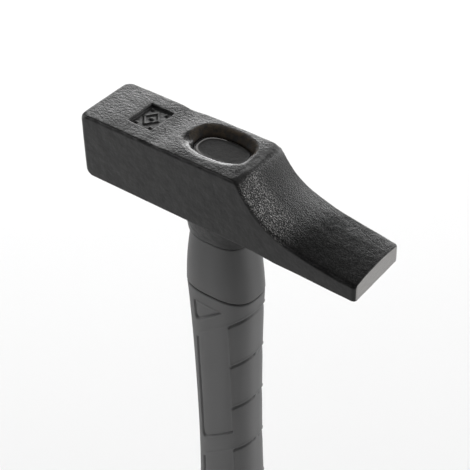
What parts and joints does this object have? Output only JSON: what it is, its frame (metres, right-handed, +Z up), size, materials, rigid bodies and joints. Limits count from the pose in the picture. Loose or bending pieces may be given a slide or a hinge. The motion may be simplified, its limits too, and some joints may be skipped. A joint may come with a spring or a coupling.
{
  "type": "cross-peen hammer",
  "caption": "Joiner's cross-peen hammer: square-faced forged head with a wedge peen, bonded on an oval composite handle with a soft moulded grip.",
  "frame": {"origin": "middle of the flat butt face, on the handle's axis", "axes": "+Z up the handle to the head, +X from the handle to the peen, +Y across the head"},
  "size_m": [0.1135, 0.025, 0.2994],
  "materials": {
    "head": "black lacquer over fine forging scale, with the peen edge and striking face ground bare",
    "resin": "cured dark epoxy, glossy where it shows in the eye",
    "cap": "dark smooth moulding, satin",
    "core": "pultruded glass-fibre rod, hidden",
    "jacket": "hard grey plastic, fine satin",
    "grip": "soft grey elastomer, matte, with moulded relief",
    "butt": "hard grey plastic, fine satin"
  },
  "bodies": {
    "root": {"hammer_head": "head", "eye_resin": "resin", "eye_cap": "cap", "core_rod": "core", "handle_body": "jacket", "grip_sleeve": "grip", "butt_cap": "butt"}
  },
  "joints": []
}
